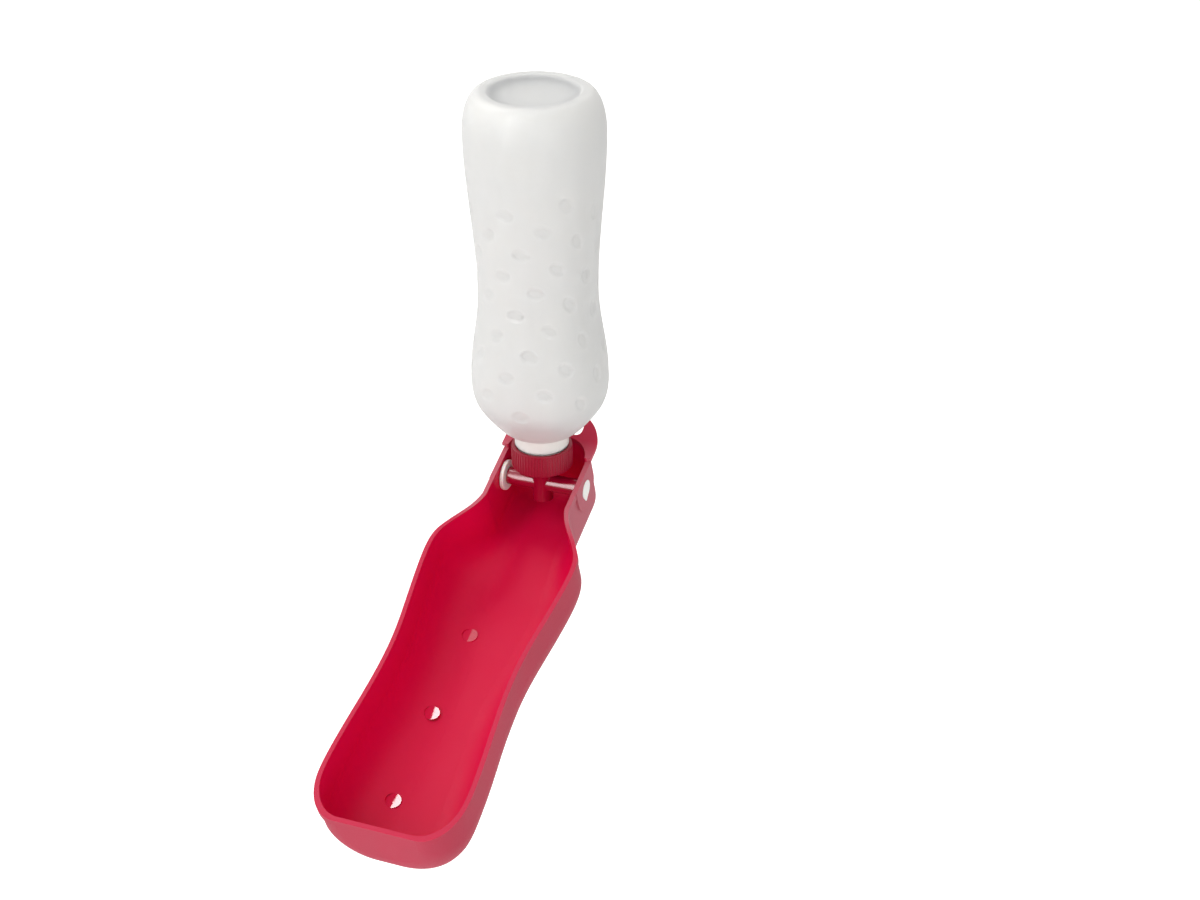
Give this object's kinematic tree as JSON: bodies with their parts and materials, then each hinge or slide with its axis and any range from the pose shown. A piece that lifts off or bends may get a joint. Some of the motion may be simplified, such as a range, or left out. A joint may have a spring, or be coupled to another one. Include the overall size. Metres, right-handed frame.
{
  "type": "dog travel water bottle",
  "caption": "Squeeze bottle whose screw cap carries a turning valve and a long drinking tray that folds back over the bottle.",
  "frame": {"origin": "on the bottle's axis at its waist, where the hand holds it", "axes": "+Z along the bottle's axis to its base, which is up in use; +X along the valve spindle to its teardrop key; -Y is the side that the open tray reaches out to"},
  "size_m": [0.0802, 0.2469, 0.3169],
  "materials": {
    "bottle": "blow-moulded low-density polyethylene, milky and translucent",
    "cap": "moulded polypropylene, semi-gloss",
    "gasket": "die-cut white sealing rubber",
    "spindle": "moulded white acetal, satin",
    "o_rings": "moulded black nitrile rubber",
    "collar": "moulded white acetal, satin",
    "tray": "moulded polypropylene, semi-gloss inside and satin outside"
  },
  "bodies": {
    "bottle": {"bottle": "bottle"},
    "gasket": {"cap_gasket": "gasket"},
    "cap": {"cap": "cap"},
    "tray": {"tray": "tray", "valve_spindle": "spindle", "spindle_o_rings": "o_rings", "spindle_collar": "collar"}
  },
  "joints": [
    {"name": "cap_lift", "type": "slide", "parent": "bottle", "child": "gasket", "axis": [0, 0, -1], "range_m": [0, 0.0027]},
    {"name": "cap_turn", "type": "hinge", "parent": "gasket", "child": "cap", "pos_m": [0, 0, -0.113], "axis": [0, 0, -1], "range_deg": [0, 360]},
    {"name": "tray_fold", "type": "hinge", "parent": "cap", "child": "tray", "pos_m": [0, 0, -0.113], "axis": [-1, 0, 0], "range_deg": [0, 105]}
  ],
  "couplings": [
    {"joint": "cap_lift", "follows": "cap_turn", "m_per_rad": 0.00042972}
  ]
}
